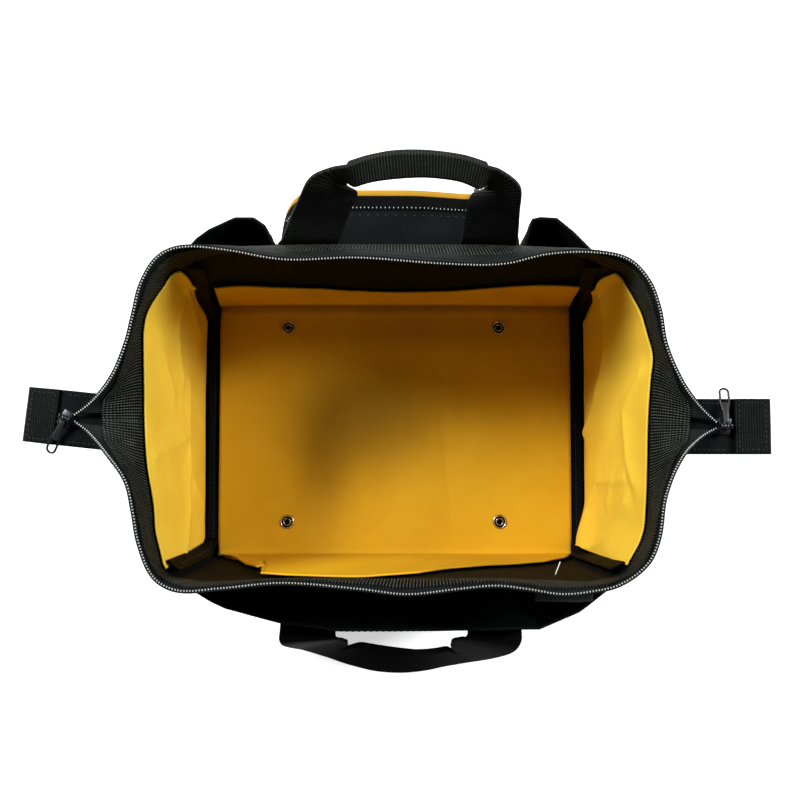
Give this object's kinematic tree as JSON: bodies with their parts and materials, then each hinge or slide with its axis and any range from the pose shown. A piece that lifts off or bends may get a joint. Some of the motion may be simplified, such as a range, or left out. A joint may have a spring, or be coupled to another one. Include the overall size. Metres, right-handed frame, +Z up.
{
  "type": "tool bag",
  "caption": "Soft-sided open-mouth tool bag with a lined rigid base, webbing handles, outer pockets, a zipped mouth with end pull tabs and rubber feet.",
  "frame": {"origin": "on the floor under the middle of the outline, between the undersides of the feet", "axes": "+Z up out of the open mouth, +X along the bag to the right end, -Y to the front pocket"},
  "size_m": [0.5166, 0.3506, 0.2797],
  "materials": {
    "black_cloth": "woven polyester, matte with a faint sheen",
    "black_webbing": "ribbed webbing and ribbed binding, matte",
    "yellow_cloth": "coated lining cloth, satin",
    "nylon_teeth": "coil zip teeth, semi-gloss",
    "dark_metal": "dark plated zip hardware, satin",
    "rivet_steel": "bright, slightly worn",
    "foot_rubber": "matte",
    "label_cloth": "thin woven satin label, blank"
  },
  "bodies": {
    "bag": {"main_panel": "black_cloth", "end_panel_left": "black_cloth", "end_panel_right": "black_cloth", "zip_tape_front": "black_cloth", "zip_tape_back": "black_cloth", "tab_patch_left": "black_cloth", "tab_patch_right": "black_cloth", "front_pocket": "black_cloth", "slip_pocket_left": "black_cloth", "slip_pocket_right": "black_cloth", "zip_pocket_top": "black_cloth", "seam_tape_left": "black_webbing", "seam_tape_right": "black_webbing", "mouth_band": "black_webbing", "tab_webbing_left": "black_webbing", "tab_webbing_right": "black_webbing", "zip_pocket_zip": "black_webbing", "handle_back": "black_webbing", "handle_front": "black_webbing", "front_patch": "black_webbing", "base_liner": "yellow_cloth", "end_lining_left": "yellow_cloth", "end_lining_right": "yellow_cloth", "zip_pocket_face": "yellow_cloth", "zip_teeth_front": "nylon_teeth", "zip_teeth_back": "nylon_teeth", "zip_slider_left": "dark_metal", "zip_slider_right": "dark_metal", "zip_pocket_slider": "dark_metal", "rivet_front_left": "rivet_steel", "rivet_front_right": "rivet_steel", "rivet_back_left": "rivet_steel", "rivet_back_right": "rivet_steel", "foot_front_left": "foot_rubber", "foot_front_right": "foot_rubber", "foot_back_left": "foot_rubber", "foot_back_right": "foot_rubber", "care_label": "label_cloth"},
    "left_pull": {"zip_pull_left": "dark_metal"},
    "right_pull": {"zip_pull_right": "dark_metal"}
  },
  "joints": [
    {"name": "left_pull_hinge", "type": "hinge", "parent": "bag", "child": "left_pull", "pos_m": [-0.22304, 0.00989, 0.2092], "axis": [-0.891, 0.454, 0], "range_deg": [0, 155]},
    {"name": "right_pull_hinge", "type": "hinge", "parent": "bag", "child": "right_pull", "pos_m": [0.22484, 0.00435, 0.2092], "axis": [0.9994, -0.0349, 0], "range_deg": [0, 155]}
  ]
}
